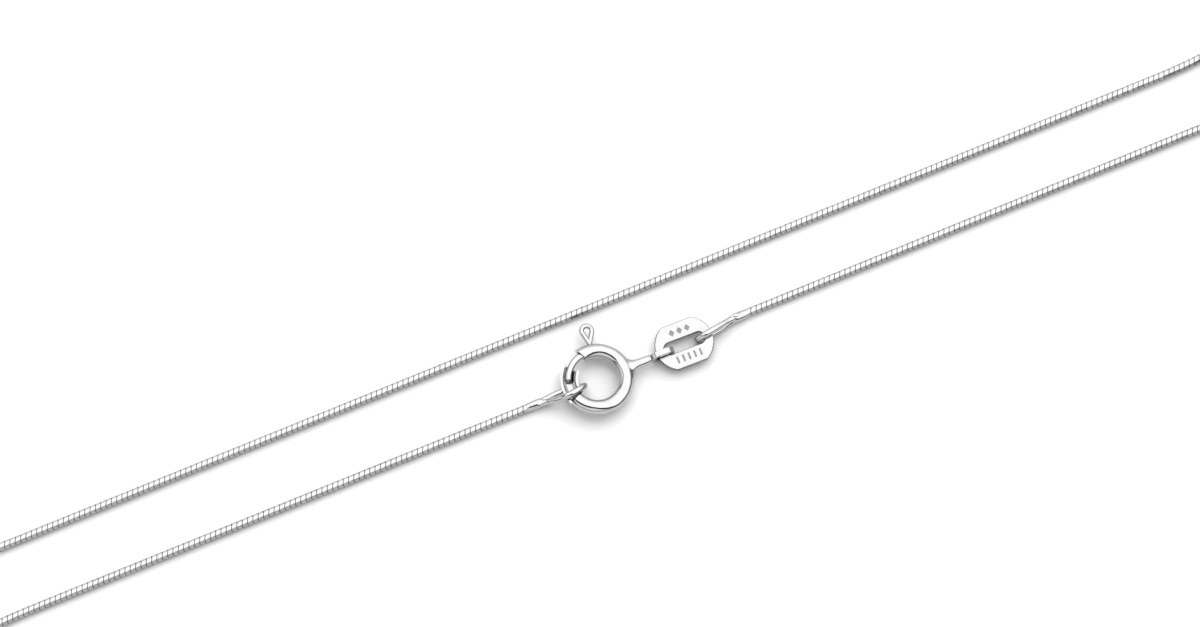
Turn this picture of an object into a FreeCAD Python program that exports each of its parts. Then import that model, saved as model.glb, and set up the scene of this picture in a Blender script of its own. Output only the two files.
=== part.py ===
import FreeCAD, Part
import math
import os

# A fine snake chain necklace that lies closed on a table, in millimetres.
# +X runs along the necklace from the clasp towards the tag, +Y across it, +Z up, and z = 0 is the table.
# The origin is under the middle of the necklace's outline.

Vector = FreeCAD.Vector
UP = Vector(0, 0, 1)
ALONG = Vector(1, 0, 0)
ACROSS = Vector(0, 1, 0)
ORIGIN = Vector(0, 0, 0)

# Chain
CHAIN_D = 0.70
UPPER_STRAND_Y = 2.83
CLASP_STRAND_Y = -2.99
TAG_STRAND_Y = -2.59
CLASP_CAP_X = -8.70
TAG_CAP_X = 11.17
CAP_GAP = 0.05

# End caps and their soldered wire loops
CAP_LENGTH = 1.50
CAP_D = 0.82
CAP_RIM_D = 0.704
CAP_NOSE_D = 0.50
CAP_BULGE_AT = 0.95
LOOP_WIRE_D = 0.52
LOBE_LENGTH = 1.50
LOBE_D = 0.40

# Spring ring clasp
RING_D = 6.05
TUBE_D = 1.25
BORE_D = 0.84
CLASP_CENTRE = Vector(-2.47, -3.19, 1.10)
CLASP_TURN = -0.6
CLASP_TILT = 2.8
TUBE_START, TUBE_END = -157.0, 110.0
BORE_START = -130.0
MOUTH_OUTER = Vector(-0.80, 2.92, 0)
MOUTH_INNER = Vector(-0.165, 1.717, 0)
TROUGH_START, TROUGH_END = 135.0, 203.6
TROUGH_D = 1.45
TROUGH_WALL = 0.20
TROUGH_SHIFT = 0.055
TROUGH_LIFT = 0.10
SLOT_START, SLOT_END = 20.0, 89.5
SLOT_HEIGHT = 0.50
NECK_BASE_D = 0.92
NECK_D = 0.74
NECK_START, NECK_END = 2.40, 4.72
NECK_FLARE_R = 0.80
COLLAR_AT, COLLAR_WIDTH = 4.52, 0.07
EYE_LENGTH, EYE_HEIGHT, EYE_WIDTH = 2.14, 1.60, 0.50
EYE_STRAP = 0.41

# Bolt and trigger
BOLT_D = 0.60
BOLT_TIP, BOLT_TAIL = 164.0, 45.5
TRIGGER_AT = 80.0
TRIGGER_WIRE_D = 0.43
TRIGGER_WIDTH = 1.30
TRIGGER_TOP = 4.85
TRIGGER_VERTEX = 3.05
TRIGGER_STEM_D = 0.38
TRIGGER_TWIST = 10.0

# Tag
TAG_CENTRE = Vector(5.33, -3.09, 0.75)
TAG_TURN = -1.2
TAG_LENGTH, TAG_WIDTH, TAG_THICKNESS = 4.95, 3.86, 0.35
TAG_FLAT = 2.64
TAG_CORNER_R = 0.40
TAG_RIM_R = 0.09
TAG_SLOT_LENGTH, TAG_SLOT_WIDTH = 3.55, 1.03
MARK_DEPTH = 0.05
MARK_ROW_Y = 1.16
LOZENGE = (0.50, 0.62)
BAR = (0.17, 0.60)


def chain_route():
    """The chain's route from cap to cap, chosen by hand: two straight strands and a wide bight at each end."""
    z = CHAIN_D / 2
    places = [
        (CLASP_CAP_X - CAP_GAP, CLASP_STRAND_Y - 0.05),
        (-60.5, CLASP_STRAND_Y),
        (-76.0, -7.9),
        (-91.4, -15.6),
        (-104.6, -8.1),
        (-105.4, 7.0),
        (-92.6, 15.0),
        (-76.6, 8.6),
        (-60.0, UPPER_STRAND_Y),
        (59.0, UPPER_STRAND_Y),
        (75.2, 8.4),
        (91.6, 15.2),
        (105.2, 7.6),
        (104.8, -7.6),
        (91.2, -15.4),
        (75.0, -7.6),
        (59.0, TAG_STRAND_Y),
        (TAG_CAP_X + CAP_GAP, TAG_STRAND_Y),
    ]
    return [Vector(x, y, z) for x, y in places]


def rounded_path(points, share=0.45):
    """Straight runs joined by tangent arcs. Gives the edges in their order, and the radius of each arc."""
    edges, radii, start = [], [], points[0]
    for before, corner, after in zip(points, points[1:], points[2:]):
        back, ahead = before - corner, after - corner
        half_turn = (math.pi - back.getAngle(ahead)) / 2
        reach = share * min(back.Length, ahead.Length)
        radius = reach / math.tan(half_turn)
        back.normalize()
        ahead.normalize()
        inward = (back + ahead).normalize()
        first, last = corner + back * reach, corner + ahead * reach
        top = corner + inward * (radius / math.cos(half_turn) - radius)
        edges.append(Part.LineSegment(start, first).toShape())
        edges.append(Part.Arc(first, top, last).toShape())
        radii.append(radius)
        start = last
    edges.append(Part.LineSegment(start, points[-1]).toShape())
    return edges, radii


def swept_rod(name, edges, diameter):
    """A rod of round section along a path of edges. Prints how its volume compares with section times length."""
    path = Part.Wire(edges)
    start, towards = (vertex.Point for vertex in edges[0].Vertexes)
    section = Part.Wire([Part.Circle(start, towards - start, diameter / 2).toShape()])
    rod = path.makePipeShell([section], True, False)
    whole = math.pi * diameter**2 / 4 * path.Length
    print(f"{name}: length {path.Length:.2f} mm, volume {rod.Volume:.3f} of {whole:.3f} mm3")
    return rod


def wire_loop(name, route):
    """A bent wire loop in two halves, over and under, that meet face to face at its far end."""
    edges, radii = rounded_path([Vector(*place) for place in route])
    middle = len(edges) // 2
    first, last = (vertex.Point for vertex in edges[middle].Vertexes)
    tip = (first + last) * 0.5
    over = edges[:middle] + [Part.LineSegment(first, tip).toShape()]
    under = [Part.LineSegment(tip, last).toShape()] + edges[middle + 1:]
    print(f"{name}: tightest bend {min(radii):.2f} mm")
    return [swept_rod(f"{name}, over", over, LOOP_WIRE_D), swept_rod(f"{name}, under", under, LOOP_WIRE_D)]


def disc_face(radius_from_axis, diameter, lift=0.0):
    """A round face that stands upright, ready to be turned about Z."""
    circle = Part.Circle(Vector(radius_from_axis, 0, lift), ACROSS, diameter / 2)
    return Part.Face(Part.Wire([circle.toShape()]))


def turned(face, start, end):
    """An upright face turned about Z from one angle to another, in degrees."""
    solid = face.revolve(ORIGIN, UP, end - start)
    solid.rotate(ORIGIN, UP, start)
    return solid


def upright_box(x_range, z_range):
    """A rectangular face in the XZ plane."""
    (x0, x1), (z0, z1) = x_range, z_range
    corners = [Vector(x0, 0, z0), Vector(x1, 0, z0), Vector(x1, 0, z1), Vector(x0, 0, z1)]
    return Part.Face(Part.makePolygon(corners + corners[:1]))


def prism(corners, bottom, height):
    """A flat outline of straight edges, given height."""
    outline = [Vector(p.x, p.y, bottom) for p in corners]
    return Part.Face(Part.makePolygon(outline + outline[:1])).extrude(UP * height)


def ring_radius():
    return (RING_D - TUBE_D) / 2


def mouth_cutter():
    """Cuts the ring tube's mouth along the slanted line between its outer and inner corner."""
    line = (MOUTH_OUTER - MOUTH_INNER).normalize()
    side = Vector(-line.y, line.x, 0)
    a, b = MOUTH_INNER - line * 0.5, MOUTH_OUTER + line * 0.5
    return prism([a, b, b + side * 1.5, a + side * 1.5], -1.0, 2.0)


def trough():
    """The open half tube that receives the bolt, its inner wall flared a little inwards."""
    middle = ring_radius() - TROUGH_SHIFT
    outer = disc_face(middle, TROUGH_D, TROUGH_LIFT)
    inner = disc_face(middle, TROUGH_D - 2 * TROUGH_WALL, TROUGH_LIFT)
    above = upright_box((middle - 1, middle + 1), (TROUGH_LIFT + 0.02, 2.0))
    section = outer.cut(inner).cut(above)
    return turned(section.Faces[0], TROUGH_START, TROUGH_END)


def with_neck(tube):
    """Adds the short tapered neck that carries the eye, flared into the ring, with a fine collar line."""
    base, end = NECK_BASE_D / 2, NECK_D / 2
    start = Vector(NECK_START, 0, 0)
    joined = tube.fuse(Part.makeCone(base, end, NECK_END - NECK_START, start, ALONG))
    near = [e for e in joined.Edges if abs(e.CenterOfMass.y) < base]
    seam = [e for e in near if NECK_START + 0.2 < e.CenterOfMass.x < RING_D / 2 + 0.2]
    flared = joined.makeFillet(NECK_FLARE_R, seam)
    at = Vector(COLLAR_AT, 0, 0)
    collar = Part.makeCylinder(base, COLLAR_WIDTH, at, ALONG)
    core = Part.makeCylinder(end - 0.07, COLLAR_WIDTH, at, ALONG)
    return flared.cut(collar.cut(core))


def upright_oval(middle_x, length, height, width):
    """A plate with round ends that stands in the XZ plane, centred on Y."""
    x, y, r = (length - height) / 2, -width / 2, height / 2
    left, right = middle_x - x, middle_x + x
    edges = [
        Part.makeLine(Vector(left, y, -r), Vector(right, y, -r)),
        Part.Arc(Vector(right, y, -r), Vector(right + r, y, 0), Vector(right, y, r)).toShape(),
        Part.makeLine(Vector(right, y, r), Vector(left, y, r)),
        Part.Arc(Vector(left, y, r), Vector(left - r, y, 0), Vector(left, y, -r)).toShape(),
    ]
    return Part.Face(Part.Wire(edges)).extrude(ACROSS * width)


def eye():
    """The closed flat-strap eye that stands upright at the neck's end, its outer rims eased."""
    middle = NECK_END - 0.03 + EYE_LENGTH / 2
    outer = upright_oval(middle, EYE_LENGTH, EYE_HEIGHT, EYE_WIDTH)
    rims = [e for e in outer.Edges if e.BoundBox.YLength < 0.01]
    outer = outer.makeFillet(0.07, rims)
    inner = upright_oval(middle, EYE_LENGTH - 2 * EYE_STRAP, EYE_HEIGHT - 2 * EYE_STRAP, EYE_WIDTH + 1)
    return outer.cut(inner)


def clasp_placement():
    turn = FreeCAD.Rotation(UP, CLASP_TURN).multiply(FreeCAD.Rotation(ACROSS, CLASP_TILT))
    return FreeCAD.Placement(CLASP_CENTRE, turn)


def clasp_case():
    """The spring ring's hollow tube with its trough, trigger slot, neck and eye, as one soldered piece."""
    radius = ring_radius()
    tube = turned(disc_face(radius, TUBE_D), TUBE_START, TUBE_END)
    bore = turned(disc_face(radius, BORE_D), BORE_START, TUBE_END + 2)
    slot_face = upright_box((radius, radius + TUBE_D), (-SLOT_HEIGHT / 2, SLOT_HEIGHT / 2))
    slot = turned(slot_face, SLOT_START, SLOT_END)
    case = with_neck(tube).fuse(eye()).cut(bore).cut(slot).cut(mouth_cutter())
    case = case.fuse(trough()).removeSplitter()
    case.Placement = clasp_placement()
    return case


def trigger():
    """The wire teardrop that a fingernail pulls, drawn along X from the bolt and turned to its place."""
    radius, wire_r = ring_radius(), TRIGGER_WIRE_D / 2
    bend = TRIGGER_WIDTH / 2 - wire_r
    centre = TRIGGER_TOP - wire_r - bend
    lean = 180 - math.degrees(math.acos(bend / (centre - TRIGGER_VERTEX)))
    vertex, middle = Vector(TRIGGER_VERTEX, 0, 0), Vector(centre, 0, 0)
    bow = disc_face(bend, TRIGGER_WIRE_D).revolve(ORIGIN, UP, 2 * lean)
    bow.rotate(ORIGIN, UP, -lean)
    bow.translate(middle)
    pieces = []
    for side in (-1, 1):
        turn = math.radians(side * lean)
        touch = middle + bend * Vector(math.cos(turn), math.sin(turn), 0)
        leg = touch - vertex
        pieces.append(Part.makeCylinder(wire_r, leg.Length, vertex, leg))
    loop = bow.fuse(pieces)
    loop.rotate(ORIGIN, ALONG, TRIGGER_TWIST)
    stem_length = TRIGGER_VERTEX + 0.15 - radius
    stem = Part.makeCylinder(TRIGGER_STEM_D / 2, stem_length, Vector(radius, 0, 0), ALONG)
    whole = loop.fuse(stem)
    whole.rotate(ORIGIN, UP, TRIGGER_AT)
    return whole


def clasp_bolt():
    """The curved bolt with a rounded tip and its trigger."""
    radius, tip_angle = ring_radius(), math.radians(BOLT_TIP)
    rod = turned(disc_face(radius, BOLT_D), BOLT_TAIL, BOLT_TIP)
    tip = radius * Vector(math.cos(tip_angle), math.sin(tip_angle), 0)
    rim = [e for e in rod.Edges if e.Closed and (e.CenterOfMass - tip).Length < 0.01]
    bolt = rod.makeFillet(BOLT_D * 0.4, rim).fuse(trigger()).removeSplitter()
    bolt.Placement = clasp_placement()
    return bolt


def tag_outline():
    """Two straight sides and two rounded ends, with the corners eased."""
    end, side, flat = TAG_LENGTH / 2, TAG_WIDTH / 2, TAG_FLAT / 2
    edges = [
        Part.LineSegment(Vector(-flat, -side, 0), Vector(flat, -side, 0)).toShape(),
        Part.Arc(Vector(flat, -side, 0), Vector(end, 0, 0), Vector(flat, side, 0)).toShape(),
        Part.LineSegment(Vector(flat, side, 0), Vector(-flat, side, 0)).toShape(),
        Part.Arc(Vector(-flat, side, 0), Vector(-end, 0, 0), Vector(-flat, -side, 0)).toShape(),
    ]
    return Part.Face(Part.Wire(edges))


def slot_cutter(length, width, depth, middle, top):
    """A long hole with round ends."""
    x, y = middle
    half, r = (length - width) / 2, width / 2
    plate = prism([Vector(x - half, y - r), Vector(x + half, y - r), Vector(x + half, y + r),
                   Vector(x - half, y + r)], top - depth, depth)
    ends = [Part.makeCylinder(r, depth, Vector(x + s * half, y, top - depth)) for s in (-1, 1)]
    return plate.fuse(ends).removeSplitter()


def marks(top):
    """Plain shallow marks where the real tag is stamped: a row of lozenges and a row of bars."""
    floor = top - MARK_DEPTH
    half_w, half_h = LOZENGE[0] / 2, LOZENGE[1] / 2
    cutters = []
    for x in (-0.68, 0.0, 0.68):
        y = MARK_ROW_Y
        corners = [Vector(x - half_w, y), Vector(x, y - half_h), Vector(x + half_w, y), Vector(x, y + half_h)]
        cutters.append(prism(corners, floor, 1.0))
    for x in (-1.0, -0.5, 0.0, 0.5, 1.0):
        y = -MARK_ROW_Y
        w, h = BAR[0] / 2, BAR[1] / 2
        corners = [Vector(x - w, y - h), Vector(x + w, y - h), Vector(x + w, y + h), Vector(x - w, y + h)]
        cutters.append(prism(corners, floor, 1.0))
    return cutters


def tag():
    """The slotted plate between the clasp's eye and the other end of the chain."""
    top = TAG_THICKNESS / 2
    plate = tag_outline().extrude(UP * TAG_THICKNESS)
    plate.translate(UP * -top)
    corners = [e for e in plate.Edges if abs(e.Vertexes[0].Z - e.Vertexes[-1].Z) > 0.1]
    plate = plate.makeFillet(TAG_CORNER_R, corners)
    plate = plate.cut(slot_cutter(TAG_SLOT_LENGTH, TAG_SLOT_WIDTH, 2.0, (0, 0), 1.0))
    rims = [e for e in plate.Edges if abs(e.Vertexes[0].Z - e.Vertexes[-1].Z) < 0.01]
    plate = plate.makeFillet(TAG_RIM_R, rims)
    for cutter in marks(top):
        plate = plate.cut(cutter)
    plate.Placement = FreeCAD.Placement(TAG_CENTRE, FreeCAD.Rotation(UP, TAG_TURN))
    return plate


def cap_body():
    """A smooth bead turned about X: its open rim at x = 0, its pinched nose at the far end."""
    rim, bulge, nose = CAP_RIM_D / 2, CAP_D / 2, CAP_NOSE_D / 2
    rise = Part.Arc(Vector(0, 0, rim), Vector(CAP_BULGE_AT / 2, 0, bulge - 0.0145),
                    Vector(CAP_BULGE_AT, 0, bulge))
    middle = (CAP_BULGE_AT + CAP_LENGTH) / 2
    fall = Part.Arc(Vector(CAP_BULGE_AT, 0, bulge), Vector(middle, 0, bulge - 0.038),
                    Vector(CAP_LENGTH, 0, nose))
    edges = [
        Part.makeLine(ORIGIN, Vector(0, 0, rim)),
        rise.toShape(),
        fall.toShape(),
        Part.makeLine(Vector(CAP_LENGTH, 0, nose), Vector(CAP_LENGTH, 0, 0)),
        Part.makeLine(Vector(CAP_LENGTH, 0, 0), ORIGIN),
    ]
    return Part.Face(Part.Wire(edges)).revolve(ORIGIN, ALONG, 360)


def lobe():
    """The leaf-shaped end of the rolled sheet that laps over the cap's seam, pointed at both ends."""
    half, r = LOBE_LENGTH / 2, LOBE_D / 2
    bow = Part.Arc(Vector(-half, 0, 0), Vector(0, 0, r), Vector(half, 0, 0)).toShape()
    chord = Part.makeLine(Vector(half, 0, 0), Vector(-half, 0, 0))
    return Part.Face(Part.Wire([bow, chord])).revolve(ORIGIN, ALONG, 360)


def laid(shape, start, towards):
    """Lays a shape drawn along X so that it starts at one point and heads for another."""
    shape.Placement = FreeCAD.Placement(start, FreeCAD.Rotation(ALONG, towards - start))
    return shape


def cap_clasp_side():
    """The end cap at the clasp, with its loop over and under the ring tube."""
    rim = Vector(CLASP_CAP_X, CLASP_STRAND_Y - 0.05, 0.372)
    nose = Vector(CLASP_CAP_X + CAP_LENGTH, -3.06, 0.47)
    cap = laid(cap_body(), rim, nose)
    route = [
        (-7.60, -3.15, 0.50),
        (-6.85, -3.26, 0.64),
        (-6.15, -3.58, 1.30),
        (-5.35, -3.70, 1.80),
        (-4.45, -3.60, 1.83),
        (-3.72, -3.38, 1.45),
        (-3.60, -3.22, 0.78),
        (-4.05, -3.02, 0.28),
        (-5.20, -2.85, 0.265),
        (-6.20, -2.84, 0.27),
        (-6.85, -2.92, 0.36),
        (-7.60, -2.97, 0.42),
    ]
    return cap.fuse(wire_loop("loop at the clasp", route)).removeSplitter()


def cap_tag_side():
    """The rolled end cap at the tag, with its loop over and under the tag's end."""
    rim = Vector(TAG_CAP_X, TAG_STRAND_Y, 0.372)
    nose = Vector(TAG_CAP_X - CAP_LENGTH, -2.66, 0.47)
    cap = laid(cap_body(), rim, nose)
    leaf = laid(lobe(), Vector(10.20, -2.54, 0.70), Vector(10.95, -2.60, 0.66))
    route = [
        (10.05, -2.62, 0.55),
        (9.40, -2.72, 0.78),
        (8.60, -2.92, 1.15),
        (7.70, -3.08, 1.38),
        (6.95, -3.20, 1.33),
        (6.42, -3.24, 0.95),
        (6.45, -3.23, 0.48),
        (6.95, -3.18, 0.27),
        (7.95, -3.12, 0.265),
        (8.80, -3.02, 0.27),
        (9.40, -2.85, 0.35),
        (10.05, -2.72, 0.41),
    ]
    return cap.fuse(wire_loop("loop at the tag", route) + [leaf]).removeSplitter()


def chain():
    """A plain tube in the chain's place, from cap to cap."""
    edges, radii = rounded_path(chain_route())
    print("chain: arc radii in mm", [round(r, 2) for r in radii])
    return swept_rod("chain", edges, CHAIN_D)


def main():
    os.makedirs("parts", exist_ok=True)
    pieces = {
        "chain": chain(),
        "cap_clasp_side": cap_clasp_side(),
        "clasp_case": clasp_case(),
        "clasp_bolt": clasp_bolt(),
        "tag": tag(),
        "cap_tag_side": cap_tag_side(),
    }
    for name, shape in pieces.items():
        box = shape.BoundBox
        print(f"{name}: {len(shape.Solids)} solid, valid {shape.isValid()}, volume {shape.Volume:.3f} mm3,",
              f"x {box.XMin:.2f}..{box.XMax:.2f}, y {box.YMin:.2f}..{box.YMax:.2f},",
              f"z {box.ZMin:.3f}..{box.ZMax:.3f}")
        shape.exportStep(f"parts/{name}.step")


main()
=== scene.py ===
# %% [markdown]
# # A snake chain necklace
#
# A fine silver snake chain lies closed on a pale table. Its two ends are soldered into small bead-like caps, and a
# spring ring clasp and a slotted tag join them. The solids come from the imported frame. This lesson gives them their
# polished metal, and puts the real faceted links in the place of the plain tube that stands for the chain.

# %% Load the frame
import math

import bmesh
import bpy
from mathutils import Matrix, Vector


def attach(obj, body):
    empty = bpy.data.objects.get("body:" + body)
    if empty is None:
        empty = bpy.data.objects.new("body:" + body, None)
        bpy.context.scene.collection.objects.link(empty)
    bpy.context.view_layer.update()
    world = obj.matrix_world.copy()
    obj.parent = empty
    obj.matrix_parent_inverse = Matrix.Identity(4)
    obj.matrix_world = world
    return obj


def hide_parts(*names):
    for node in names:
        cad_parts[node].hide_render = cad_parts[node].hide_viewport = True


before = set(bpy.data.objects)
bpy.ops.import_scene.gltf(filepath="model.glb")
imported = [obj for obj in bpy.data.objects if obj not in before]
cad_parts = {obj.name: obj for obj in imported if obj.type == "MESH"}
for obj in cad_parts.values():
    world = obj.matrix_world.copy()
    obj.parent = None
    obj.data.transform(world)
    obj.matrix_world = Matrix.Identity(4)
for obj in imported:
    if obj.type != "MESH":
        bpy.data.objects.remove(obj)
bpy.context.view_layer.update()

MM = 0.001
print("nodes:", sorted(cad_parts))

# %% [markdown]
# ## Camera
#
# The necklace was photographed from high above with a long lens, so that its two strands stay parallel. A camera is
# placed by the angle round the object, the height above the table and the width that it sees.

# %% Camera
CAMERA_AZIMUTH = -22.8
CAMERA_ELEVATION = 75.0
LOOKED_AT = Vector((0.0, 2.16 * MM, 0.0))
VIEW_WIDTH = 99.2 * MM
LENS = 200.0
SENSOR = 36.0


def towards_camera(azimuth, elevation):
    """The direction from the object to a camera that stands at these angles, in degrees."""
    a, e = math.radians(azimuth), math.radians(elevation)
    return Vector((math.sin(a) * math.cos(e), -math.cos(a) * math.cos(e), math.sin(e)))


camera_data = bpy.data.cameras.new("camera")
camera_data.lens, camera_data.sensor_width = LENS, SENSOR
camera_data.clip_start, camera_data.clip_end = 0.01, 20.0
camera = bpy.data.objects.new("camera", camera_data)
bpy.context.scene.collection.objects.link(camera)
back = towards_camera(CAMERA_AZIMUTH, CAMERA_ELEVATION)
camera.location = LOOKED_AT + back * (VIEW_WIDTH * LENS / SENSOR)
camera.rotation_mode = "QUATERNION"
camera.rotation_quaternion = (-back).to_track_quat("-Z", "Y")
bpy.context.scene.camera = camera
print("camera stands", round(VIEW_WIDTH * LENS / SENSOR, 3), "m away")

# %% [markdown]
# ## Node trees in plain Python
#
# Materials and Geometry Nodes are both graphs. One small class wraps a socket, so that sums on sockets read like sums
# on numbers, and one method makes any other node from its type, its settings and its inputs.


# %% Sockets and trees
class Line:
    """A socket's value. Arithmetic on it adds Math nodes to its tree."""

    def __init__(self, tree, socket):
        self.tree, self.socket = tree, socket

    def math(self, operation, *others, swap=False):
        values = [*others, self] if swap else [self, *others]
        node = self.tree.node("ShaderNodeMath", {"operation": operation}, dict(enumerate(values)))
        return self.tree.line(node, "Value")

    def __add__(self, other):
        return self.math("ADD", other)

    def __sub__(self, other):
        return self.math("SUBTRACT", other)

    def __rsub__(self, other):
        return self.math("SUBTRACT", other, swap=True)

    def __mul__(self, other):
        return self.math("MULTIPLY", other)

    def __truediv__(self, other):
        return self.math("DIVIDE", other)

    __radd__, __rmul__ = __add__, __mul__


class Tree:
    """A node tree that is written node by node."""

    def __init__(self, nodes):
        self.nodes = nodes
        nodes.nodes.clear()

    def node(self, kind, settings=None, inputs=None):
        made = self.nodes.nodes.new(kind)
        for name, value in (settings or {}).items():
            setattr(made, name, value)
        for key, value in (inputs or {}).items():
            socket = self.pick(made.inputs, key)
            if isinstance(value, Line):
                self.nodes.links.new(value.socket, socket)
            else:
                socket.default_value = value
        return made

    def pick(self, sockets, key):
        """A socket by its index, or by its name among those in use."""
        if isinstance(key, int):
            return sockets[key]
        return next(s for s in sockets if s.name == key and s.enabled)

    def line(self, node, key=0):
        return Line(self, self.pick(node.outputs, key))


# %% [markdown]
# ## Table and light
#
# Jewellery is lit by large soft white surfaces, because polished silver shows only what stands round it. One could
# build those surfaces as lit panels. Here the sky itself is the white tent, since a few sums on its direction give
# the same reflections without any noise. It is bright overhead and behind and grey low down. One dark gap overhead and
# one narrow flag at the left draw the thin dark lines along every wire. The metal is darker than bare silver and the
# tent brighter than the table, so that the white table shows grey in the metal and every edge stays visible.
#
# A large soft light behind throws the soft shadows forward. It can't be seen in the metal.

# %% Table
FLOOR_HALF = 5.0
TABLE_SHADE = (0.535, 0.535, 0.535, 1)

floor_mesh = bpy.data.meshes.new("table")
corners = [(-FLOOR_HALF, -FLOOR_HALF, 0), (FLOOR_HALF, -FLOOR_HALF, 0), (FLOOR_HALF, FLOOR_HALF, 0),
           (-FLOOR_HALF, FLOOR_HALF, 0)]
floor_mesh.from_pydata(corners, [], [(0, 1, 2, 3)])
floor = bpy.data.objects.new("table", floor_mesh)
bpy.context.scene.collection.objects.link(floor)

table_white = bpy.data.materials.new("table_white")
table_white.use_nodes = True
tree = Tree(table_white.node_tree)
board = tree.node("ShaderNodeBsdfPrincipled", None, {"Base Color": TABLE_SHADE, "Roughness": 0.9,
                                                    "Specular IOR Level": 0.1})
tree.node("ShaderNodeOutputMaterial", None, {"Surface": tree.line(board)})
floor_mesh.materials.append(table_white)
print("table:", 2 * FLOOR_HALF, "m wide")

# %% Tent
# Brightness of the tent behind, in front, low down as a share of that, and in the gap
TENT_WHITE = 2.10
TENT_FRONT = 1.50
TENT_LOW = 0.50
TENT_GAP = 0.03
# Heights in degrees between which the tent brightens
LOW_ENDS, LOW_FULL = 9.0, 42.0
# The gap in degrees over the near horizon, how much lower it hangs at the right, and where it ends at the left
GAP_MIDDLE, GAP_HALF, GAP_EDGE = 64.0, 15.0, 6.0
GAP_FALLS = 60.0
GAP_STARTS, GAP_FULL = -0.75, -0.45
# The flag at the left and the dark low corner at the right, as shares of the way to the side
FLAG_MIDDLE, FLAG_HALF, FLAG_DARK = 0.76, 0.09, 0.8
CORNER_STARTS, CORNER_FULL, CORNER_DARK = 0.6, 0.9, 0.9

world = bpy.data.worlds.new("tent")
bpy.context.scene.world = world
world.use_nodes = True
tree = Tree(world.node_tree)
direction = tree.line(tree.node("ShaderNodeTexCoord"), "Generated")
near = towards_camera(CAMERA_AZIMUTH, 0.0)
right = Vector((-near.y, near.x, 0.0))
height = tree.line(tree.node("ShaderNodeSeparateXYZ", None, {"Vector": direction}), "Z")


def along(tree, vector, axis):
    """How far a direction points along an axis."""
    node = tree.node("ShaderNodeVectorMath", {"operation": "DOT_PRODUCT"}, {0: vector, 1: axis})
    return tree.line(node, "Value")


def smooth_step(tree, value, start, end):
    """0 below start, 1 above end, and smooth between."""
    node = tree.node("ShaderNodeMapRange", {"interpolation_type": "SMOOTHSTEP"},
                     {"Value": value, "From Min": start, "From Max": end})
    return tree.line(node, "Result")


def sine(degrees):
    """How high a direction at this height points."""
    return math.sin(math.radians(degrees))


# over runs from 0 at the near horizon to 180 at the far one
over = height.math("ARCTAN2", along(tree, direction, near)) * math.degrees(1)
to_right = along(tree, direction, right)
gap_middle = GAP_MIDDLE - to_right.math("MAXIMUM", 0.0) * GAP_FALLS
from_gap = over - gap_middle
in_gap = 1 - smooth_step(tree, from_gap.math("ABSOLUTE"), GAP_HALF - GAP_EDGE, GAP_HALF)
in_gap = in_gap * smooth_step(tree, to_right, GAP_STARTS, GAP_FULL)
above_gap = smooth_step(tree, from_gap, -GAP_HALF, GAP_HALF)
white = TENT_FRONT + (TENT_WHITE - TENT_FRONT) * above_gap
lifted = smooth_step(tree, height, sine(LOW_ENDS), sine(LOW_FULL))
low = TENT_LOW * (1 - smooth_step(tree, to_right, CORNER_STARTS, CORNER_FULL) * CORNER_DARK)
brightness = white * (low + (1 - low) * lifted)
flag = 1 - smooth_step(tree, (to_right + FLAG_MIDDLE).math("ABSOLUTE"), FLAG_HALF * 0.5, FLAG_HALF)
brightness = brightness * (1 - flag * FLAG_DARK)
brightness = brightness * (1 - in_gap) + TENT_GAP * in_gap
sky = tree.node("ShaderNodeBackground", None, {"Color": (1, 1, 1, 1), "Strength": brightness})
tree.node("ShaderNodeOutputWorld", None, {"Surface": tree.line(sky)})
print("tent:", len(world.node_tree.nodes), "nodes")

# %% Soft key light
KEY_SIZE = (1.9, 1.5)
KEY_DISTANCE = 1.1
KEY_POWER = 25.0
KEY_AZIMUTH, KEY_ELEVATION = 145.0, 44.0

key_data = bpy.data.lights.new("soft_key", "AREA")
key_data.shape = "RECTANGLE"
key_data.size, key_data.size_y = KEY_SIZE
key_data.energy = KEY_POWER
key = bpy.data.objects.new("soft_key", key_data)
bpy.context.scene.collection.objects.link(key)
key_side = towards_camera(KEY_AZIMUTH, KEY_ELEVATION)
key.location = key_side * KEY_DISTANCE
key.rotation_mode = "QUATERNION"
key.rotation_quaternion = (-key_side).to_track_quat("-Z", "Y")
key.visible_glossy = False
bpy.context.scene.view_settings.view_transform = "Standard"
print("key light", [round(c, 2) for c in key.location])

# %% [markdown]
# ## Polished silver
#
# Real polished silver isn't a perfect mirror. It has slight waves from drawing and buffing, hair-fine scratches, and a
# haze where fingers and cloth don't reach. Painted textures could show that, but they blur close up. Noise on object
# coordinates makes all three at their real sizes, on any piece. One function makes every silver of this necklace, and
# a piece that has recesses passes its own rule that paints shade into them.


# %% Silver
CLOUDS_PER_MM = 0.9
WAVES_PER_MM = 1.6
HAIRS_PER_MM = 9.0
HAIRS_ALONG_X = (0.25, 1.0, 1.0)
DULLED = 0.93


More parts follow.
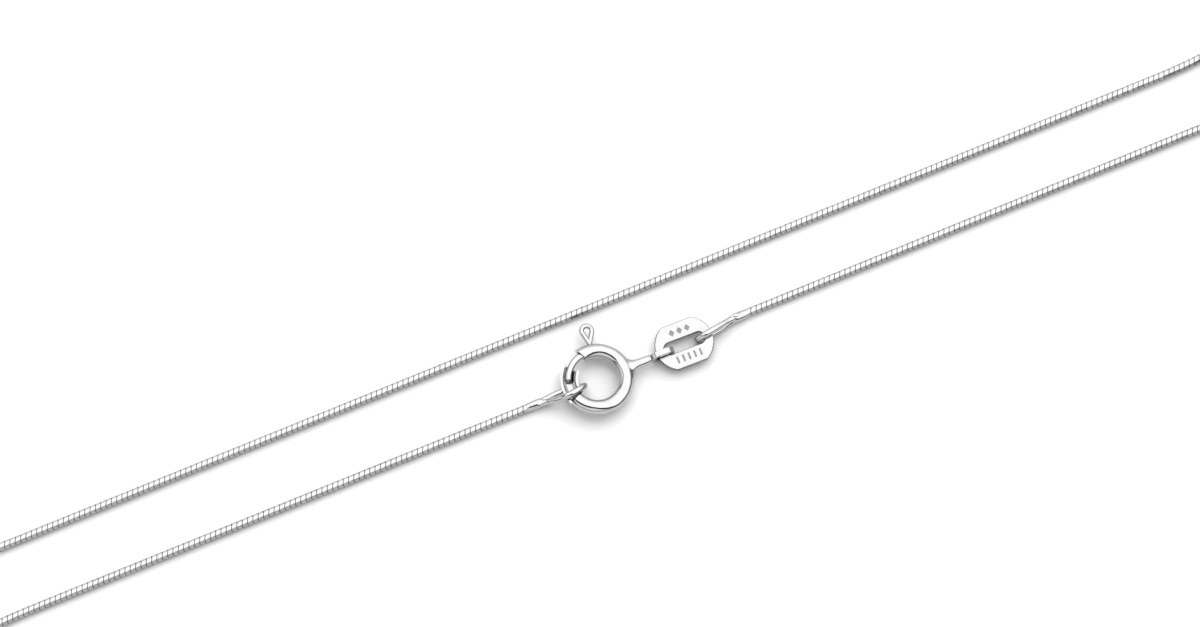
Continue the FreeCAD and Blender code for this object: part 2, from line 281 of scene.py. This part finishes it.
def silver(name, tint, rough, haze, wave, scratch, painted_shade=None):
    """Polished silver. rough and haze set its roughness, wave and scratch are heights in mm.

    A last argument, if given, is a rule (tree, place, colour, roughness) that paints shade onto parts of it.
    """
    material = bpy.data.materials.new(name)
    material.use_nodes = True
    tree = Tree(material.node_tree)
    place = tree.line(tree.node("ShaderNodeTexCoord"), "Object")

    def noise(per_mm, detail, stretch=(1, 1, 1)):
        mapped = tree.line(tree.node("ShaderNodeMapping", None, {"Vector": place, "Scale": stretch}))
        made = tree.node("ShaderNodeTexNoise", None, {"Vector": mapped, "Scale": per_mm / MM, "Detail": detail})
        return tree.line(made, 0)

    cloud = smooth_step(tree, noise(CLOUDS_PER_MM, 3.0), 0.35, 0.75)
    roughness = rough + haze * cloud
    dull = tuple(c * DULLED for c in tint)
    mixed = tree.node("ShaderNodeMix", {"data_type": "RGBA"},
                      {"Factor": cloud, "A": (*tint, 1), "B": (*dull, 1)})
    colour = tree.line(mixed, "Result")
    # Painted shade in the piece's recesses, from its own rule
    if painted_shade:
        colour, roughness = painted_shade(tree, place, colour, roughness)
    waves = tree.node("ShaderNodeBump", None, {"Height": noise(WAVES_PER_MM, 1.0), "Strength": 1.0,
                                              "Distance": wave * MM})
    hair = noise(HAIRS_PER_MM, 2.0, HAIRS_ALONG_X)
    hairs = tree.node("ShaderNodeBump", None, {"Height": hair, "Strength": 1.0, "Distance": scratch * MM,
                                              "Normal": tree.line(waves)})
    metal = tree.node("ShaderNodeBsdfPrincipled", None, {"Base Color": colour, "Metallic": 1.0,
                                                        "Roughness": roughness, "Normal": tree.line(hairs)})
    tree.node("ShaderNodeOutputMaterial", None, {"Surface": tree.line(metal)})
    return material


# %% The three silvers
CLASP_TINT = (0.48, 0.48, 0.478)
CHAIN_TINT = (0.50, 0.50, 0.498)
# Colour of the shade painted into the tag's stamped marks and round its edge
RECESS_SHADE = (0.12, 0.12, 0.12, 1)
# Colour of the shade painted into the grooves between the chain's links
GROOVE_SHADE = (0.05, 0.05, 0.05, 1)
TAG_FACE = 0.925 * MM
# Heights below the tag's face over which that painted shade fades in
RECESS_SHADE_FULL, RECESS_SHADE_STARTS = TAG_FACE - 0.014 * MM, TAG_FACE - 0.001 * MM


def recess_shadow(tree, place, colour, roughness):
    """Paints shade below the tag's polished face: in its stamped marks and round its edge."""
    height = tree.line(tree.node("ShaderNodeSeparateXYZ", None, {"Vector": place}), "Z")
    below = 1 - smooth_step(tree, height, RECESS_SHADE_FULL, RECESS_SHADE_STARTS)
    dark = tree.node("ShaderNodeMix", {"data_type": "RGBA"}, {"Factor": below * 0.8, "A": colour, "B": RECESS_SHADE})
    return tree.line(dark, "Result"), roughness + below * 0.15


def joint_shadow(tree, place, colour, roughness):
    """Paints shade into the grooves between links, and lets each link differ a little."""
    joint = tree.line(tree.node("ShaderNodeAttribute", {"attribute_name": "joint"}), "Fac")
    shade = tree.line(tree.node("ShaderNodeAttribute", {"attribute_name": "link_shade"}), "Fac")
    deep = smooth_step(tree, joint, 0.1, 0.7) * 0.95
    dark = tree.node("ShaderNodeMix", {"data_type": "RGBA"}, {"Factor": deep, "A": colour, "B": GROOVE_SHADE})
    return tree.line(dark, "Result"), roughness + shade * 0.08 + joint * 0.3


polished = silver("polished_silver", CLASP_TINT, 0.07, 0.06, 0.012, 0.0006)
tag_silver = silver("tag_silver", CLASP_TINT, 0.10, 0.08, 0.004, 0.0006, recess_shadow)
chain_silver = silver("chain_silver", CHAIN_TINT, 0.10, 0.08, 0.004, 0.0004, joint_shadow)
print("materials:", [m.name for m in bpy.data.materials])

# %% [markdown]
# ## The chain's route
#
# The chain lies in two straight strands that meet in a wide bend at each end. A snake chain bends only in wide curves,
# because its links lock when it is bent tightly. One could sweep arcs and lines one by one. One smooth spline by the
# same points as the solid tube is simpler, and the links then lie where the tube is. Order 3 keeps the strands
# straight between points in a row.

# %% Route
CHAIN_Z = 0.34
ROUTE = [
    (-8.58, -3.04), (-44.3, -3.005), (-60.5, -2.99), (-76.0, -7.9), (-91.4, -15.6), (-104.6, -8.1),
    (-105.4, 7.0), (-92.6, 15.0), (-76.6, 8.6), (-60.0, 2.83), (-43.0, 2.83), (42.0, 2.83), (59.0, 2.83),
    (75.2, 8.4), (91.6, 15.2), (105.2, 7.6), (104.8, -7.6), (91.2, -15.4), (75.0, -7.6), (59.0, -2.59),
    (42.5, -2.59), (11.05, -2.59),
]
route_curve = bpy.data.curves.new("route", "CURVE")
route_curve.dimensions = "3D"
spline = route_curve.splines.new("NURBS")
spline.points.add(len(ROUTE) - 1)
for point, (x, y) in zip(spline.points, ROUTE):
    point.co = (x * MM, y * MM, CHAIN_Z * MM, 1.0)
spline.order_u = 3
spline.use_endpoint_u = True
spline.resolution_u = 32
route = bpy.data.objects.new("route", route_curve)
bpy.context.scene.collection.objects.link(route)
print("route length", round(spline.calc_length() / MM, 1), "mm")

# %% [markdown]
# ## The links
#
# A snake chain is a row of short curved plates, pressed into each other and then cut to eight flat facets. Each plate
# is bent like a saddle, so its joint slants across the top facet. One could model a link and copy it 930 times, but
# the copies would have to be fused where they lock. Geometry Nodes make one closed skin instead: an eight-sided profile
# runs along the route, with three rows of points for each link, and the row at the joint sinks in.

# %% Inputs of the links' nodes
LINK_INPUTS = {
    "Pitch": 0.47 * MM,
    "Across flats": 0.68 * MM,
    "Corner cut": 0.045 * MM,
    "Groove depth": 0.16,
    "Groove width": 0.12 * MM,
    "Saddle": 0.105 * MM,
    "Twist": math.radians(1.6),
}
LINK_SEED, SHADE_SEED = 3, 7
HALF_FACET = math.radians(22.5)

links_tree = bpy.data.node_groups.new("snake_links", "GeometryNodeTree")
face = links_tree.interface
face.new_socket("Geometry", in_out="INPUT", socket_type="NodeSocketGeometry")
for name in LINK_INPUTS:
    face.new_socket(name, in_out="INPUT", socket_type="NodeSocketFloat")
face.new_socket("Seed", in_out="INPUT", socket_type="NodeSocketInt")
face.new_socket("Metal", in_out="INPUT", socket_type="NodeSocketMaterial")
face.new_socket("Geometry", in_out="OUTPUT", socket_type="NodeSocketGeometry")

print("inputs:", list(LINK_INPUTS))

# %% Rows of points along the route
tree = Tree(links_tree)
given = tree.node("NodeGroupInput")
pitch = tree.line(given, "Pitch")
rows_per_link = 3
length = tree.line(tree.node("GeometryNodeCurveLength", None, {"Curve": tree.line(given, "Geometry")}))
count = (length / pitch).math("ROUND") * rows_per_link + 1
rows = tree.line(tree.node("GeometryNodeResampleCurve", None,
                           {"Curve": tree.line(given, "Geometry"), "Count": count}))
index = tree.line(tree.node("GeometryNodeInputIndex"))
row = index.math("MODULO", rows_per_link)
link = (index / rows_per_link).math("FLOOR")
joint = row.math("LESS_THAN", 0.5)
side = (row - 1.5) * 2 * (1 - joint)
slide = side * (pitch / rows_per_link - tree.line(given, "Groove width") / 2)
tangent = tree.line(tree.node("GeometryNodeInputTangent"))


def scaled(tree, vector, by):
    """A vector times a number."""
    node = tree.node("ShaderNodeVectorMath", {"operation": "SCALE"}, {"Vector": vector, "Scale": by})
    return tree.line(node, "Vector")


rows = tree.line(tree.node("GeometryNodeSetPosition", None,
                           {"Geometry": rows, "Offset": scaled(tree, tangent, slide)}))
rows = tree.line(tree.node("GeometryNodeSetCurveNormal", {"mode": "Z_UP"}, {"Curve": rows}))
twist = tree.line(given, "Twist")
random = tree.node("FunctionNodeRandomValue", {"data_type": "FLOAT"},
                   {"Min": -1.0, "Max": 1.0, "ID": link, "Seed": tree.line(given, "Seed")})
tilt = HALF_FACET + twist * tree.line(random, "Value")
rows = tree.line(tree.node("GeometryNodeSetCurveTilt", None, {"Curve": rows, "Tilt": tilt}))
sunk = 1 - joint * tree.line(given, "Groove depth")
rows = tree.line(tree.node("GeometryNodeSetCurveRadius", None, {"Curve": rows, "Radius": sunk}))
rows = tree.line(tree.node("GeometryNodeStoreNamedAttribute", {"data_type": "FLOAT", "domain": "POINT"},
                           {"Geometry": rows, "Name": "joint", "Value": joint}))
shade = tree.node("FunctionNodeRandomValue", {"data_type": "FLOAT"},
                  {"Min": 0.0, "Max": 1.0, "ID": link, "Seed": SHADE_SEED})
rows = tree.line(tree.node("GeometryNodeStoreNamedAttribute", {"data_type": "FLOAT", "domain": "POINT"},
                           {"Geometry": rows, "Name": "link_shade", "Value": tree.line(shade, "Value")}))
for name, value in (("chain_centre", tree.line(tree.node("GeometryNodeInputPosition"))),
                    ("chain_ahead", tangent)):
    rows = tree.line(tree.node("GeometryNodeStoreNamedAttribute",
                               {"data_type": "FLOAT_VECTOR", "domain": "POINT"},
                               {"Geometry": rows, "Name": name, "Value": value}))
print("rows:", len(links_tree.nodes), "nodes so far")

# %% Eight-sided skin over the rows
corner_radius = tree.line(given, "Across flats") / (2 * math.cos(HALF_FACET))
octagon = tree.node("GeometryNodeCurvePrimitiveCircle", {"mode": "RADIUS"},
                    {"Resolution": 8, "Radius": corner_radius})
cut = tree.node("GeometryNodeFilletCurve", {"mode": "POLY"},
                {"Curve": tree.line(octagon, "Curve"), "Count": 1, "Radius": tree.line(given, "Corner cut")})
skin = tree.line(tree.node("GeometryNodeCurveToMesh", None,
                           {"Curve": rows, "Profile Curve": tree.line(cut), "Fill Caps": True}))
print("skin:", len(links_tree.nodes), "nodes so far")

# %% [markdown]
# The saddle is one more step. Each point of the skin slides along the chain, forwards on two opposite corners and
# backwards on the other two, as the real plates are bent. It needs only the point's place round the chain's centre.



# %% Saddle shape
def kept(tree, name):
    """A vector that was stored on the rows."""
    node = tree.node("GeometryNodeInputNamedAttribute", {"data_type": "FLOAT_VECTOR"}, {"Name": name})
    return tree.line(node, "Attribute")


def vector_math(tree, operation, a, b, out="Vector"):
    """One vector sum of two values."""
    return tree.line(tree.node("ShaderNodeVectorMath", {"operation": operation}, {0: a, 1: b}), out)


here = tree.line(tree.node("GeometryNodeInputPosition"))
ahead = kept(tree, "chain_ahead")
outward = vector_math(tree, "SUBTRACT", here, kept(tree, "chain_centre"))
left = vector_math(tree, "CROSS_PRODUCT", (0, 0, 1), ahead)
to_left = vector_math(tree, "DOT_PRODUCT", outward, left, "Value")
to_top = vector_math(tree, "DOT_PRODUCT", outward, (0, 0, 1), "Value")
reach = vector_math(tree, "DOT_PRODUCT", outward, outward, "Value")
saddle = tree.line(given, "Saddle") * 2 * to_left * to_top / reach
skin = tree.line(tree.node("GeometryNodeSetPosition", None,
                           {"Geometry": skin, "Offset": scaled(tree, ahead, saddle)}))
for name in ("chain_centre", "chain_ahead"):
    skin = tree.line(tree.node("GeometryNodeRemoveAttribute", None, {"Geometry": skin, "Name": name}))
skin = tree.line(tree.node("GeometryNodeSetShadeSmooth", None, {"Geometry": skin, "Shade Smooth": False}))
skin = tree.line(tree.node("GeometryNodeRealizeInstances", None, {"Geometry": skin}))
skin = tree.line(tree.node("GeometryNodeSetMaterial", None,
                           {"Geometry": skin, "Material": tree.line(given, "Metal")}))
tree.node("NodeGroupOutput", None, {"Geometry": skin})
print("links tree:", len(links_tree.nodes), "nodes")


# %% Links as a plain mesh
def made_by(tree, source, values, name):
    """Runs a Geometry Nodes tree on an object, and gives the result as a plain mesh object."""
    modifier = source.modifiers.new(tree.name, "NODES")
    modifier.node_group = tree
    sockets = {s.name: s.identifier for s in tree.interface.items_tree if s.in_out == "INPUT"}
    for key, value in values.items():
        modifier[sockets[key]] = value
    graph = bpy.context.evaluated_depsgraph_get()
    mesh = bpy.data.meshes.new_from_object(source.evaluated_get(graph), depsgraph=graph)
    mesh.name = name
    source.modifiers.remove(modifier)
    made = bpy.data.objects.new(name, mesh)
    bpy.context.scene.collection.objects.link(made)
    return made


def faced_outwards(made):
    """Turns a closed mesh's faces outwards, and gives its volume in cubic millimetres."""
    mesh = bmesh.new()
    mesh.from_mesh(made.data)
    bmesh.ops.recalc_face_normals(mesh, faces=mesh.faces)
    volume = mesh.calc_volume(signed=True)
    open_edges = sum(not e.is_manifold for e in mesh.edges)
    mesh.to_mesh(made.data)
    mesh.free()
    print(made.name, len(made.data.polygons), "faces,", open_edges, "open edges,",
          round(volume / MM**3, 2), "mm3")
    return made


chain = made_by(links_tree, route, {**LINK_INPUTS, "Seed": LINK_SEED, "Metal": chain_silver}, "snake_chain")
faced_outwards(chain)
bpy.data.objects.remove(route)
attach(chain, "necklace")
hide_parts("chain")

# %% [markdown]
# ## Clasp, caps and tag
#
# The other five pieces are small castings and bent wires:
#
# - the clasp's case, a ring of hollow tube with an open trough, a neck and a closed eye
# - its bolt, a curved rod with a wire trigger, that a spring pushes across the gap
# - the tag, a thin stamped plate with a long slot
# - the two end caps, beads pinched round the chain's ends, each with its soldered wire loop
#
# One could model them again as meshes, but their solids have the right shape already. So each keeps its mesh and only
# gets its metal.

# %% Metal for the solids
for name, metal in (("cap_clasp_side", polished), ("cap_tag_side", polished), ("clasp_case", polished),
                    ("clasp_bolt", polished), ("tag", tag_silver), ("chain", chain_silver)):
    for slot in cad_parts[name].material_slots:
        slot.material = metal
    print(name, "is", metal.name)
